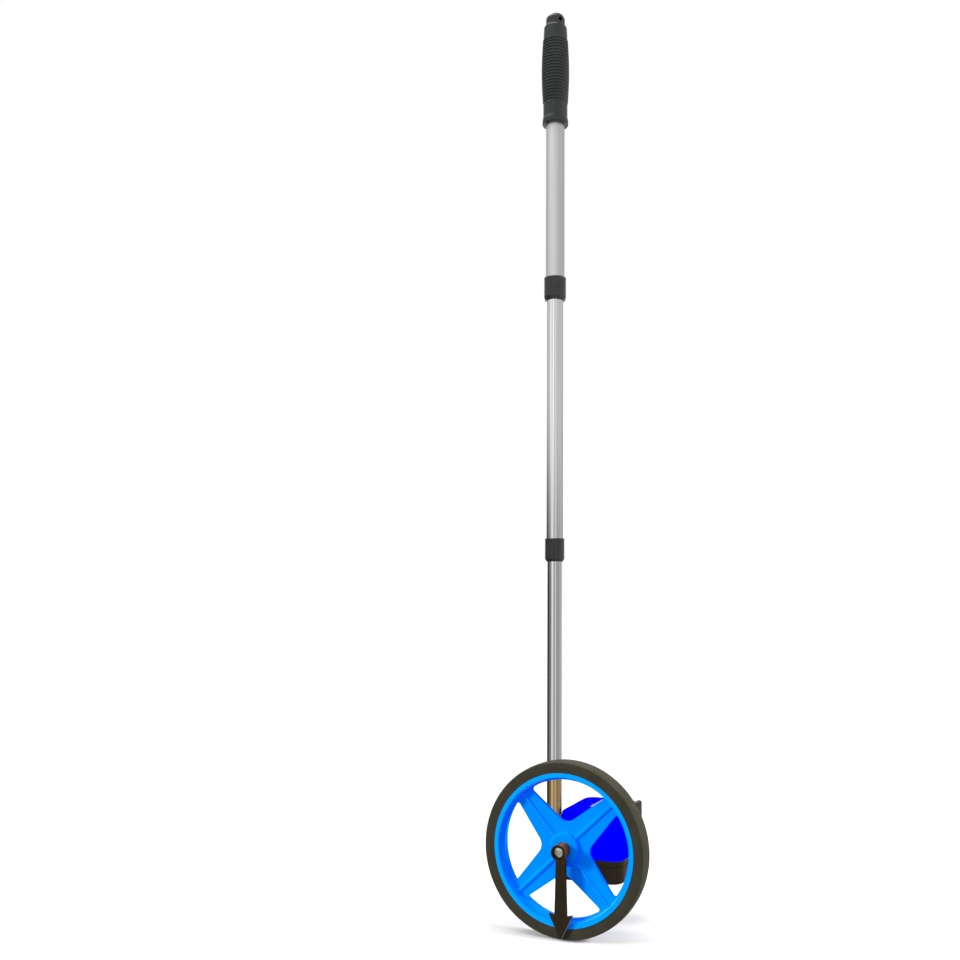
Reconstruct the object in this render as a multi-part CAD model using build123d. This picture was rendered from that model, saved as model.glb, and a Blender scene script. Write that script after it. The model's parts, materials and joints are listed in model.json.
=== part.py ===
from build123d import *
import math
import os

# Compact measuring wheel: a spoked wheel on a fixed axle, a counter housing behind it,
# and a telescopic pole that stands on the housing's corner.
# Millimetres. +X is the direction of travel, +Y runs along the axle from the wheel to the
# housing, +Z is up. The origin is on the ground, under the middle of the whole object.
# Below, "depth" is a distance along +Y from the wheel's front face, and "height" is a
# distance along +Z from the axle.

# Wheel
CIRCUMFERENCE = 500.0
WHEEL_R = CIRCUMFERENCE / (2 * math.pi)
WHEEL_WIDTH = 18.0
TREAD_EDGE_R = WHEEL_R - 1.1
RIM_R = WHEEL_R - 10.6
FLANGE_R = RIM_R - 3.95
OPENING_R = 62.2
REAR_WALL_R = 63.8
REAR_CHANNEL = (65.3, 67.3, 10.5)
OPENING_APEX = 21.5
OPENING_HALF_ANGLE = 53.0
OPENING_HUB_RADIUS = 10.0
OPENING_RIM_RADIUS = 2.6
SPOKE_FACE = 7.6
SPOKE_THICKNESS = 3.6
SPOKES = 4
SPOKE_TURN = 2.3
RIDGE_BASE, RIDGE_CREST, RIDGE_RISE = 4.6, 1.8, 1.5
HUB_R = 14.5
HUB_FACE = 4.0
HUB_REAR = 14.6
HUB_REAR_R = 8.0
SLEEVE_R = 5.5

# Places along the axle
POINTER_FRONT = -10.0
HOUSING_FRONT = 20.0
HOUSING_REAR = 100.0
BASE_REAR = 101.0
FACE_Y = -(BASE_REAR + POINTER_FRONT) / 2
AXLE_Z = WHEEL_R

# Axle, bushes and drive gear
AXLE_R = 3.5
AXLE_THREAD_R = 3.0
AXLE_FRONT = -5.6
COLLAR_FRONT = 30.5
BUSH_R = 4.5
BUSH_LENGTH = 9.0
RUNNING_GAP = 0.05
GEAR_FRONT = 24.0
GEAR_REAR = 29.0

# Pointer
POINTER_BOSS_R = 6.85
POINTER_BOSS_REAR = 3.0
POINTER_ARM = (-3.6, -0.9)
POINTER_HALF = [(4.5, 0.0), (6.0, -56.9), (11.7, -55.5), (10.6, -58.0), (0.9, -76.5)]
SCREW_HEAD_R = 5.0
SCREW_R = 2.0
SCREW_SEAT = -6.8

# Housing: limits in X and height
HOUSING_TOP = 29.8
SEAM = -11.0
BASE_BOTTOM = -32.5
TOP_LEFT, TOP_RIGHT = -12.0, 44.0
SEAM_LEFT, SEAM_RIGHT = -18.0, 50.0
TOP_REAR = 96.0
WALL = 2.0
CORNER_R = 12.0
TOP_EDGE_R = 2.5
BOTTOM_EDGE_R = 2.4
BASE_DRAFT = 0.8
GROOVE = (-17.0, -16.1, 0.9)
HOUSING_SCREWS = [(-11.5, 48.0), (-11.5, 94.0), (43.0, 28.0), (43.0, 95.0)]
BOSS_R = 3.2
BOSS_TOP = 4.0

# Counter
DRUMS = 5
DRUM_X, DRUM_Z = 18.0, 10.0
DRUM_R = 13.0
DRUM_PITCH = 7.2
SIDE_WIDTH = 1.3
DRUM_GAP = 0.4
DRUM_FRONT = 40.0
DRUM_SHAFT_R = 2.0
LOCK_RING_R = 10.1
WHEEL_TEETH = 16
DRUM_TEETH = 32
DRIVE_MODULE = 2 * math.hypot(DRUM_X, DRUM_Z) / (WHEEL_TEETH + DRUM_TEETH)
SIDE_TEETH = 20
PINION_TEETH = 8
SIDE_MODULE = 1.15
PINION_REACH = SIDE_MODULE * (SIDE_TEETH + PINION_TEETH) / 2
PINION_SLOPE = 35.0
PINION_X = DRUM_X + PINION_REACH * math.cos(math.radians(PINION_SLOPE))
PINION_Z = DRUM_Z - PINION_REACH * math.sin(math.radians(PINION_SLOPE))
PINION_SHAFT_R = 1.5
BACKLASH = 0.16
BRACKET = (-6.0, 36.0, 32.5, 85.5, -27.5, 23.5)
PLATE = 1.5
WINDOW = (12.0, 24.0, 39.5, 76.5)
BEZEL_BORDER = 4.0
BEZEL_TOP = HOUSING_TOP + 2.6

# Reset lever
LEVER_X, LEVER_Z = 40.0, 6.0
LEVER_PIN_R = 1.5
LEVER_HUB = (82.5, 89.0)
LEVER_ARM = (38.9, 43.2)
LEVER_PAD = (42.0, 47.6, 76.5, 91.0, 10.5, 31.0)
LEVER_NOTCH = (36.0, 52.0, 75.1, 92.4)
LEVER_LUGS = [(73.0, 74.8), (89.5, 91.3)]
LUG_LIMITS = (37.0, 50.0, 2.5, 9.5)
LEVER_PIN = (73.0, 90.5)

# Pole: its axis, its tubes, and the heights of its joints
POLE_X, POLE_DEPTH = -20.5, 30.0
LOWER_R, MIDDLE_R, UPPER_R = 7.35, 8.5, 9.6
TUBE_WALL = 0.8
SLIDE_GAP = 0.3
SOCKET_R = 9.2
SOCKET_TOP = 17.0
SOCKET_FLOOR = -26.0
SOCKET_SCREWS = (12.0, -15.0)
SCREW_HOLE_R = 1.2
LOWER_COLLAR = (265.6, 288.2)
LOWER_COLLAR_R = 9.7
LOWER_CHAMFER = (1.6, 2.4)
UPPER_COLLAR = (528.3, 551.6)
UPPER_COLLAR_R = 11.2
UPPER_CHAMFER = (1.0, 3.3)
LOWER_TUBE_TOP = 316.0
MIDDLE_TUBE_TOP = 586.0
UPPER_TUBE_TOP = 821.0

# Grip
GRIP_BOTTOM, GRIP_TOP = 713.0, 832.2
GRIP_LIP_R, GRIP_NECK_R = 13.3, 12.5
RIB_END_R, RIB_MIDDLE_R = 13.0, 14.3
LIP_HEIGHT = 8.3
RIB_BOTTOM, RIB_TOP = 736.0, 804.5
RIBS = 21
RIB_DEPTH = 0.9
CAP_SHOULDER, CAP_SHOULDER_R = 819.6, 11.9
CAP_NECK_R, CAP_NECK_TOP = 9.8, 828.0
CAP_TURN = 25.0
CAP_APEX = 2.9
CAP_LEFT_SLOPE, CAP_RIGHT_SLOPE = 16.0, 10.0
HANG_HOLE_R = 2.2
HANG_HOLE_HEIGHT = 824.9
HANG_HOLE_TURN = 55.0


def depth(value):
    """The Y of a depth behind the wheel's front face."""
    return FACE_Y + value


def height(value):
    """The Z of a height above the axle."""
    return AXLE_Z + value


def across(x, start, z):
    """A plane that faces along the axle, at an X, a depth and a height."""
    return Plane(origin=(x, depth(start), height(z)), x_dir=(1, 0, 0), z_dir=(0, 1, 0))


def rod(x, z, radius, start, end):
    """A cylinder along the axle's direction, between two depths."""
    return extrude(across(x, start, z) * Circle(radius), end - start)


def ring(x, z, outer, inner, start, end):
    """A tube along the axle's direction, between two depths."""
    return rod(x, z, outer, start, end) - rod(x, z, inner, start - 1, end + 1)


def post(x, y, radius, low, high):
    """An upright cylinder at an X and a depth, between two heights."""
    return Pos(x, depth(y), height(low)) * extrude(Circle(radius), high - low)


def pipe(x, y, outer, inner, low, high):
    """An upright tube at an X and a depth, between two heights."""
    return post(x, y, outer, low, high) - post(x, y, inner, low - 1, high + 1)


def block(x0, x1, y0, y1, z0, z1):
    """A box from its limits in X, depth and height."""
    middle = ((x0 + x1) / 2, depth((y0 + y1) / 2), height((z0 + z1) / 2))
    return Pos(*middle) * Box(x1 - x0, y1 - y0, z1 - z0)


def turned(points):
    """Turns a closed outline of (radius, depth) points about the axle."""
    outline = Polyline(*[(radius, depth(y), 0) for radius, y in points], close=True)
    return Pos(0, 0, AXLE_Z) * revolve(make_face(outline), Axis.Y)


def upright_turned(points):
    """Turns a closed outline of (radius, height) points about the pole's axis."""
    outline = Polyline(*[(radius, 0, height(z)) for radius, z in points], close=True)
    return Pos(POLE_X, depth(POLE_DEPTH), 0) * revolve(make_face(outline), Axis.Z)


def gear_face(teeth, module):
    """An involute spur gear's outline, with one tooth centred on its local X axis."""
    pressure = math.radians(20)
    pitch = teeth * module / 2
    base = pitch * math.cos(pressure)
    root = pitch - 1.2 * module
    tip = pitch + 0.85 * module
    half_tooth = math.pi / (2 * teeth) - BACKLASH / (2 * pitch)
    involute = math.tan(pressure) - pressure
    start = max(base, root)
    steps = 5
    flank = []
    for step in range(steps + 1):
        radius = start + (tip - start) * step / steps
        roll = math.acos(base / radius)
        flank.append((radius, half_tooth + involute - (math.tan(roll) - roll)))
    if root < base:
        flank.insert(0, (root, flank[0][1]))
    points = []
    for tooth in range(teeth):
        centre = 2 * math.pi * tooth / teeth
        points += [(radius, centre - angle) for radius, angle in flank]
        points += [(radius, centre + angle) for radius, angle in reversed(flank)]
    return make_face(Polyline(*[(r * math.cos(a), r * math.sin(a)) for r, a in points], close=True))


def gear(x, z, teeth, module, start, end, turn):
    """A spur gear along the axle's direction; turn is the angle of its first tooth."""
    return extrude(across(x, start, z) * Rot(0, 0, turn) * gear_face(teeth, module), end - start)


# Wheel

def make_tyre():
    """A solid rubber ring with flat sides, a crisp shoulder and a slightly rounded tread."""
    half = [
        (RIM_R, 0.3),
        (TREAD_EDGE_R - 0.6, 0.0),
        (TREAD_EDGE_R, 0.4),
        (WHEEL_R - 0.3, 3.0),
        (WHEEL_R, 6.0),
    ]
    mirrored = [(radius, WHEEL_WIDTH - y) for radius, y in reversed(half)]
    return turned(half + mirrored)


def make_opening(turn):
    """The space between two spokes, rounded at the hub and at the rim."""
    spread = math.radians(OPENING_HALF_ANGLE)
    far = 2 * OPENING_R
    corner = (OPENING_APEX + far * math.cos(spread), far * math.sin(spread))
    sector = make_face(Polyline((OPENING_APEX, 0), corner, (corner[0], -corner[1]), close=True))
    face = sector & Circle(OPENING_R)
    face = fillet(face.vertices().sort_by(Axis.X)[:1], OPENING_HUB_RADIUS)
    face = fillet(face.vertices().sort_by(Axis.Y)[:1], OPENING_RIM_RADIUS)
    face = fillet(face.vertices().sort_by(Axis.Y)[-1:], OPENING_RIM_RADIUS)
    return extrude(across(0, -1, 0) * Rot(0, 0, turn) * face, WHEEL_WIDTH + 2)


def make_rim_ring():
    """The rim: a flat front flange, an inner wall with a ledge at the spokes, a rear channel."""
    web_rear = SPOKE_FACE + SPOKE_THICKNESS
    inner, outer, floor = REAR_CHANNEL
    return turned([
        (RIM_R, 0.0),
        (FLANGE_R, 0.0),
        (FLANGE_R - 0.3, 0.6),
        (FLANGE_R - 1.1, SPOKE_FACE - 0.5),
        (FLANGE_R - 1.5, SPOKE_FACE),
        (OPENING_R, SPOKE_FACE),
        (OPENING_R, web_rear),
        (REAR_WALL_R, web_rear + 0.6),
        (REAR_WALL_R, WHEEL_WIDTH),
        (inner, WHEEL_WIDTH),
        (inner, floor),
        (outer, floor),
        (outer, WHEEL_WIDTH),
        (RIM_R, WHEEL_WIDTH),
    ])


def make_spoke_ridge(turn):
    """The raised ridge along the middle of a spoke, from the hub to the rim's wall."""
    start, end = HUB_R - 1, FLANGE_R - 1.5
    centre = Rot(0, 0, turn) * Pos((start + end) / 2, 0)
    base = across(0, SPOKE_FACE + 0.2, 0) * centre * Rectangle(end - start, RIDGE_BASE)
    crest = across(0, SPOKE_FACE - RIDGE_RISE, 0) * centre * Rectangle(end - start, RIDGE_CREST)
    return loft([base, crest])


def make_wheel_rim():
    """One moulding: rim, four tapering spokes with a ridge, hub and rear sleeve."""
    web = rod(0, 0, OPENING_R + 0.5, SPOKE_FACE, SPOKE_FACE + SPOKE_THICKNESS)
    for index in range(SPOKES):
        web -= make_opening(SPOKE_TURN + 90 * index)
    body = make_rim_ring() + web
    for index in range(SPOKES):
        body += make_spoke_ridge(SPOKE_TURN + 45 + 90 * index)
    hub = turned([
        (0, HUB_FACE),
        (HUB_R - 1.6, HUB_FACE),
        (HUB_R - 0.4, HUB_FACE + 0.5),
        (HUB_R, HUB_FACE + 1.8),
        (HUB_R, SPOKE_FACE + SPOKE_THICKNESS),
        (HUB_REAR_R, HUB_REAR),
        (SLEEVE_R, HUB_REAR),
        (SLEEVE_R, GEAR_REAR),
        (0, GEAR_REAR),
    ])
    return body + hub - rod(0, 0, BUSH_R, HUB_FACE - 1, GEAR_REAR + 1)


def make_hub_bush(start):
    """A bronze bush that is pressed into the hub and runs on the axle."""
    return ring(0, 0, BUSH_R, AXLE_R + RUNNING_GAP, start, start + BUSH_LENGTH)


def make_wheel_gear():
    """The drive gear on the end of the hub's sleeve."""
    turn = -math.degrees(math.atan2(DRUM_Z, DRUM_X))
    blank = gear(0, 0, WHEEL_TEETH, DRIVE_MODULE, GEAR_FRONT, GEAR_REAR, turn)
    return blank - rod(0, 0, SLEEVE_R, GEAR_FRONT - 1, GEAR_REAR + 1)


# Axle and pointer

def make_axle():
    """A fixed axle with a locating collar, a threaded rear end and a tapped front end."""
    body = rod(0, 0, AXLE_R, AXLE_FRONT, COLLAR_FRONT)
    body += rod(0, 0, 6.0, COLLAR_FRONT, BRACKET[2])
    body += rod(0, 0, AXLE_THREAD_R, BRACKET[2], 40.0)
    return body - rod(0, 0, SCREW_R, AXLE_FRONT - 1, 8.0)


def make_axle_nut():
    """The nut that holds the axle to the counter bracket."""
    start = BRACKET[2] + PLATE
    face = RegularPolygon(5.77, 6) - Circle(AXLE_THREAD_R)
    return extrude(across(0, start, 0) * face, 4.4)


def make_washer(start, end):
    """A plain thrust washer on the axle."""
    return ring(0, 0, 6.2, AXLE_R, start, end)


def make_pointer_arrow():
    """A hanging arm with a boss at the axle and an arrowhead over the tyre."""
    outline = [(-x, z) for x, z in POINTER_HALF] + [(x, z) for x, z in reversed(POINTER_HALF)]
    face = make_face(Polyline(*[(x, -z) for x, z in outline], close=True))
    arm = extrude(across(0, POINTER_ARM[0], 0) * face, POINTER_ARM[1] - POINTER_ARM[0])
    arm += rod(0, 0, POINTER_BOSS_R, POINTER_FRONT, POINTER_BOSS_REAR)
    arm -= rod(0, 0, SCREW_HEAD_R + 0.3, POINTER_FRONT - 1, SCREW_SEAT)
    arm -= rod(0, 0, SCREW_R, SCREW_SEAT - 1, AXLE_FRONT)
    arm -= rod(0, 0, AXLE_R, AXLE_FRONT, POINTER_BOSS_REAR + 1)
    dimple = across(0, POINTER_ARM[0], -9.2) * Circle(1.1)
    return arm - extrude(dimple, 0.8)


def make_pointer_screw():
    """A domed cross-head screw that clamps the pointer to the axle."""
    low = SCREW_SEAT
    body = turned([
        (0, low - 2.6),
        (2.6, low - 2.5),
        (4.3, low - 1.9),
        (SCREW_HEAD_R, low - 0.8),
        (SCREW_HEAD_R, low),
        (SCREW_R, low),
        (SCREW_R, 6.0),
        (0, 6.0),
    ])
    for turn in (45, 135):
        slot = across(0, low - 3, 0) * Rot(0, 0, turn) * Rectangle(5.2, 1.1)
        body -= extrude(slot, 1.9)
    return body


# Housing

def frustum(bottom, top, low, high, radius):
    """A tapering rounded box; bottom and top are limits in X and depth."""
    faces = []
    for (x0, x1, y0, y1), level in ((bottom, low), (top, high)):
        centre = Pos((x0 + x1) / 2, depth((y0 + y1) / 2), height(level))
        faces.append(centre * RectangleRounded(x1 - x0, y1 - y0, radius))
    return loft(faces)


def shrunk(limits, amount):
    """Limits in X and depth, drawn in by an amount on every side."""
    x0, x1, y0, y1 = limits
    return (x0 + amount, x1 - amount, y0 + amount, y1 - amount)


def socket_pocket(outer, low, high):
    """The curved wall that lines the pole's pocket, kept inside the outer shape."""
    return outer & post(POLE_X, POLE_DEPTH, SOCKET_R + 1.3, low, high)


def make_housing_upper():
    """The upper shell: tapering walls, a window, a lever notch and the pole's pocket."""
    seam = (SEAM_LEFT, SEAM_RIGHT, HOUSING_FRONT, HOUSING_REAR)
    top = (TOP_LEFT, TOP_RIGHT, HOUSING_FRONT, TOP_REAR)
    outer = frustum(seam, top, SEAM, HOUSING_TOP, CORNER_R)
    outer = fillet(outer.edges().filter_by_position(Axis.Z, height(HOUSING_TOP) - 0.1,
                                                    height(HOUSING_TOP) + 0.1), TOP_EDGE_R)
    inner = frustum(shrunk(seam, WALL), shrunk(top, WALL), SEAM - 0.01, HOUSING_TOP - WALL, CORNER_R - WALL)
    shell = outer - inner
    shell += socket_pocket(outer, SEAM, HOUSING_TOP)
    shell += outer & make_lugs()
    for x, y in HOUSING_SCREWS:
        shell += outer & post(x, y, BOSS_R, SEAM, BOSS_TOP)
        shell -= post(x, y, 1.2, SEAM - 1, BOSS_TOP - 1)
    shell -= post(POLE_X, POLE_DEPTH, SOCKET_R, SEAM - 1, HOUSING_TOP + 1)
    shell -= rod(0, 0, SLEEVE_R + 0.8, HOUSING_FRONT - 1, HOUSING_FRONT + WALL + 1)
    shell -= block(*WINDOW, HOUSING_TOP - WALL - 1, HOUSING_TOP + 1)
    shell -= block(*LEVER_NOTCH, LEVER_PAD[4] - 0.6, HOUSING_TOP + 1)
    shell -= crosswise(SOCKET_SCREWS[0], SCREW_HOLE_R, POLE_X, POLE_X + SOCKET_R + 2)
    return shell - rod(LEVER_X, LEVER_Z, LEVER_PIN_R, *LEVER_PIN)


def make_lugs():
    """Two lugs inside the right wall, which hold the reset lever's pin."""
    x0, x1, z0, z1 = LUG_LIMITS
    front, rear = [block(x0, x1, *limits, z0, z1) for limits in LEVER_LUGS]
    return front + rear


def make_housing_base():
    """The black tray under the housing, with a ledge at the seam and screw bosses."""
    limits = (SEAM_LEFT, SEAM_RIGHT, HOUSING_FRONT, BASE_REAR)
    outer = frustum(shrunk(limits, BASE_DRAFT), limits, BASE_BOTTOM, SEAM, CORNER_R)
    outer = fillet(outer.edges().filter_by_position(Axis.Z, height(BASE_BOTTOM) - 0.1,
                                                    height(BASE_BOTTOM) + 0.1), BOTTOM_EDGE_R)
    floor = BASE_BOTTOM + WALL
    hollow = frustum(shrunk(limits, WALL + BASE_DRAFT), shrunk(limits, WALL), floor, SEAM + 0.01,
                     CORNER_R - WALL)
    low, high, cut = GROOVE
    line = frustum(shrunk(limits, -1), shrunk(limits, -1), low, high, CORNER_R)
    line -= frustum(shrunk(limits, cut), shrunk(limits, cut), low - 0.1, high + 0.1, CORNER_R)
    tray = outer - hollow - line
    tray += socket_pocket(outer, BASE_BOTTOM, SEAM)
    for x, y in HOUSING_SCREWS:
        tray += outer & post(x, y, BOSS_R, floor - 0.5, SEAM)
    for x, y in bracket_screw_places():
        tray += post(x, y, 3.0, floor - 0.5, BRACKET[4])
        tray -= post(x, y, 1.0, floor - 1, BRACKET[4] + 1)
    for x, y in HOUSING_SCREWS:
        tray -= post(x, y, 1.6, BASE_BOTTOM - 1, SEAM + 1)
        tray -= post(x, y, 2.9, BASE_BOTTOM - 1, floor)
    tray -= crosswise(SOCKET_SCREWS[1], SCREW_HOLE_R, POLE_X, POLE_X + SOCKET_R + 2)
    return tray - post(POLE_X, POLE_DEPTH, SOCKET_R, BASE_BOTTOM - 1, SEAM + 1)


def make_housing_screws():
    """Four screws from below, which hold the two housing halves together."""
    screws = Part()
    for x, y in HOUSING_SCREWS:
        screws += post(x, y, 2.7, BASE_BOTTOM + 0.4, BASE_BOTTOM + WALL)
        screws += post(x, y, 1.2, BASE_BOTTOM + WALL, BOSS_TOP - 3)
    return screws


def make_window_bezel():
    """A low raised frame round the counter's window."""
    x0, x1, y0, y1 = WINDOW
    limits = (x0 - BEZEL_BORDER, x1 + BEZEL_BORDER, y0 - BEZEL_BORDER, y1 + BEZEL_BORDER)
    frame = frustum(limits, shrunk(limits, 1.4), HOUSING_TOP, BEZEL_TOP, 2.5)
    frame += block(x0, x1, y0, y1, HOUSING_TOP - WALL, HOUSING_TOP + 0.5)
    frame -= block(x0 + 1.2, x1 - 1.2, y0 + 1.2, y1 - 1.2, HOUSING_TOP - WALL - 1, BEZEL_TOP + 1)
    return frame - block(x0, x1, y0, y1, HOUSING_TOP + 1.0, BEZEL_TOP + 1)


def make_window_lens():
    """The clear pane that drops into the bezel."""
    x0, x1, y0, y1 = WINDOW
    return block(x0, x1, y0, y1, HOUSING_TOP + 1.0, BEZEL_TOP - 0.2)


# Counter

def bracket_screw_places():
    """The bracket's four screws, as X and depth."""
    x0, x1, y0, y1 = BRACKET[:4]
    return [(x, y) for x in (x0 + 6, x1 - 6) for y in (y0 + 7, y1 - 7)]


def make_counter_bracket():
    """A folded steel bracket with a plate at each end of the shafts."""
    x0, x1, y0, y1, z0, z1 = BRACKET
    body = block(x0, x1, y0, y1, z0, z0 + PLATE)
    body += block(x0, x1, y0, y0 + PLATE, z0, z1)
    body += block(x0, x1, y1 - PLATE, y1, z0, z1)
    body -= rod(0, 0, AXLE_THREAD_R, y0 - 1, y0 + PLATE + 1)
    body -= rod(DRUM_X, DRUM_Z, 4.5, y0 - 1, y0 + PLATE + 1)
    body -= rod(DRUM_X, DRUM_Z, DRUM_SHAFT_R, y1 - PLATE - 1, y1 + 1)
    body -= rod(PINION_X, PINION_Z, PINION_SHAFT_R, y0 - 1, y1 + 1)
    for x, y in bracket_screw_places():
        body -= post(x, y, 1.0, z0 - 1, z0 + PLATE + 1)
    return body


def make_bracket_screws():
    """Four screws that hold the bracket to the base."""
    screws = Part()
    for x, y in bracket_screw_places():
        screws += post(x, y, 2.2, BRACKET[4] + PLATE, BRACKET[4] + PLATE + 1.6)
        screws += post(x, y, 1.0, BASE_BOTTOM + WALL - 0.5, BRACKET[4] + PLATE)
    return screws


def drum_start(index):
    """The depth at which a digit drum begins."""
    return DRUM_FRONT + DRUM_PITCH * index


def make_drum_shaft():
    """The fixed shaft under the drums, with a collar that keeps them together."""
    body = rod(DRUM_X, DRUM_Z, DRUM_SHAFT_R, HOUSING_FRONT + WALL + 0.6, BRACKET[3])
    return body + rod(DRUM_X, DRUM_Z, 3.2, drum_start(DRUMS) - DRUM_GAP + 0.3, BRACKET[3] - PLATE)


def make_drum_gear():
    """The gear that the wheel drives, with a sleeve through the bracket to the first drum."""
    turn = 180 + 180 / DRUM_TEETH - math.degrees(math.atan2(DRUM_Z, DRUM_X))
    body = gear(DRUM_X, DRUM_Z, DRUM_TEETH, DRIVE_MODULE, GEAR_FRONT, GEAR_REAR, turn)
    body += rod(DRUM_X, DRUM_Z, 4.0, GEAR_REAR, DRUM_FRONT)
    return body - rod(DRUM_X, DRUM_Z, DRUM_SHAFT_R + RUNNING_GAP, GEAR_FRONT - 1, DRUM_FRONT + 1)


def make_digit_drum(index):
    """One digit drum: a toothed side, the band for its figures and a locking ring."""
    start = drum_start(index)
    band_end = start + DRUM_PITCH - DRUM_GAP - SIDE_WIDTH
    body = rod(DRUM_X, DRUM_Z, DRUM_R, start + SIDE_WIDTH, band_end)
    if index == 0:
        body += rod(DRUM_X, DRUM_Z, 6.0, start, start + SIDE_WIDTH)
    else:
        body += gear(DRUM_X, DRUM_Z, SIDE_TEETH, SIDE_MODULE, start, start + SIDE_WIDTH, PINION_SLOPE)
    body += rod(DRUM_X, DRUM_Z, LOCK_RING_R, band_end, band_end + SIDE_WIDTH)
    return body - rod(DRUM_X, DRUM_Z, DRUM_SHAFT_R + RUNNING_GAP, start - 1, start + DRUM_PITCH)


def pinion_limits(index):
    """The depths between which the pinion after a drum lies."""
    start = drum_start(index + 1)
    return start - DRUM_GAP - SIDE_WIDTH + 0.3, start + SIDE_WIDTH - 0.3


def make_transfer_pinion(index):
    """The small pinion that carries a turn from one drum to the next."""
    start, end = pinion_limits(index)
    turn = PINION_SLOPE + 180 + 180 / PINION_TEETH
    body = gear(PINION_X, PINION_Z, PINION_TEETH, SIDE_MODULE, start, end, turn)
    return body - rod(PINION_X, PINION_Z, PINION_SHAFT_R + RUNNING_GAP, start - 1, end + 1)


def make_pinion_shaft():
    """The fixed shaft that the transfer pinions turn on."""
    return rod(PINION_X, PINION_Z, PINION_SHAFT_R, BRACKET[2], BRACKET[3])


def make_pinion_spacers():
    """Tubes on the pinion shaft that keep the pinions at their places."""
    starts = [BRACKET[2] + PLATE] + [pinion_limits(index)[1] + 0.15 for index in range(DRUMS - 1)]
    ends = [pinion_limits(index)[0] - 0.15 for index in range(DRUMS - 1)] + [BRACKET[3] - PLATE]
    spacers = Part()
    for start, end in zip(starts, ends):
        spacers += ring(PINION_X, PINION_Z, 2.4, PINION_SHAFT_R, start, end)
    return spacers


# Reset lever

def make_reset_lever():
    """A lever with a thumb pad that stands out of the housing's rear corner."""
    pad = fillet(block(*LEVER_PAD).edges().filter_by(Axis.Y), 2.2)
    arm = block(*LEVER_ARM, *LEVER_HUB, LEVER_Z + 1, LEVER_PAD[4] + 5)
    body = pad + arm + rod(LEVER_X, LEVER_Z, 3.4, *LEVER_HUB)
    return body - rod(LEVER_X, LEVER_Z, LEVER_PIN_R + RUNNING_GAP, 80, 92)


def make_reset_comb():
    """A bar with one finger for each drum, fixed to the lever's arm."""
    comb = block(LEVER_ARM[0], LEVER_ARM[0] + 2, DRUM_FRONT + 1, LEVER_HUB[0], 13.0, 15.5)
    for index in range(DRUMS):
        middle = drum_start(index) + SIDE_WIDTH + 2.1
        comb += block(33.0, LEVER_ARM[0] + 0.5, middle - 1, middle + 1, 13.0, 15.0)
    return comb


def make_reset_pin():
    """The pin that the reset lever turns on."""
    return rod(LEVER_X, LEVER_Z, LEVER_PIN_R, *LEVER_PIN)


def make_reset_spring():
    """A torsion spring's coil around the reset pin."""
    start, turns, pitch, wire = 78.9, 3, 0.95, 0.35
    path = Helix(pitch, pitch * turns, 2.5, center=(LEVER_X, depth(start), height(LEVER_Z)),
                 direction=(0, 1, 0))
    return sweep(Plane(origin=path @ 0, z_dir=path % 0) * Circle(wire), path=path)


# Pole

def make_pole_socket():
    """The closed sleeve that the lower tube stands in."""
    body = post(POLE_X, POLE_DEPTH, SOCKET_R, BASE_BOTTOM, SOCKET_TOP)
    body = chamfer(body.edges().filter_by(GeomType.CIRCLE).sort_by(Axis.Z)[-1:], 0.8)
    body -= post(POLE_X, POLE_DEPTH, LOWER_R, SOCKET_FLOOR, SOCKET_TOP + 1)
    for level in SOCKET_SCREWS:
        body -= crosswise(level, SCREW_HOLE_R, POLE_X, POLE_X + SOCKET_R + 1)
    return body


def crosswise(level, radius, start, end):
    """A cylinder along X through the pole's axis at a height."""
    plane = Plane(origin=(start, depth(POLE_DEPTH), height(level)), x_dir=(0, 1, 0), z_dir=(1, 0, 0))
    return extrude(plane * Circle(radius), end - start)


def make_socket_screws():
    """Two screws from inside the housing into the tube's foot plug."""
    wall = POLE_X + SOCKET_R + 1.3
    screws = Part()
    for level in SOCKET_SCREWS:
        screws += crosswise(level, SCREW_HOLE_R, POLE_X + 1, wall)
        screws += crosswise(level, 2.4, wall, wall + 1.5)
    return screws


def make_tube_foot_plug():
    """The nylon plug in the foot of the lower tube."""
    inner = LOWER_R - TUBE_WALL
    body = post(POLE_X, POLE_DEPTH, inner, SOCKET_FLOOR, SOCKET_TOP)
    for level in SOCKET_SCREWS:
        body -= crosswise(level, SCREW_HOLE_R, POLE_X + 1, POLE_X + SOCKET_R)
    return body


def make_tube(radius, low, high):
    """A round pole tube."""
    return pipe(POLE_X, POLE_DEPTH, radius, radius - TUBE_WALL, low, high)


def make_lower_tube():
    """The fixed lower tube, drilled for the two socket screws."""
    body = make_tube(LOWER_R, SOCKET_FLOOR, LOWER_TUBE_TOP)
    for level in SOCKET_SCREWS:
        body -= crosswise(level, SCREW_HOLE_R, POLE_X + 1, POLE_X + SOCKET_R)
    return body


def make_tube_plug(radius, top):
    """A stepped nylon plug in a tube's upper end."""
    body = post(POLE_X, POLE_DEPTH, radius - TUBE_WALL, top - 10, top)
    return body + post(POLE_X, POLE_DEPTH, radius, top, top + 2)


def make_collet(outer, inner_tube, low):
    """A guide ring at the lower end of a tube, around the next tube."""
    return pipe(POLE_X, POLE_DEPTH, outer, inner_tube + SLIDE_GAP, low, low + 5)


def make_collar(limits, radius, chamfer, outer_tube, inner_tube):
    """A twist collar: chamfered lower end, plain body, slightly wider upper rim."""
    low, high = limits
    cut, rise = chamfer
    clearance = outer_tube + SLIDE_GAP
    return upright_turned([
        (inner_tube + SLIDE_GAP, low),
        (radius - cut, low),
        (radius - 0.1, low + rise),
        (radius - 0.1, high - 2.2),
        (radius, high - 1.8),
        (radius, high - 0.5),
        (radius - 0.4, high),
        (clearance, high),
        (clearance, low + 1.5),
        (inner_tube + SLIDE_GAP, low + 1.5),
    ])


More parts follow.
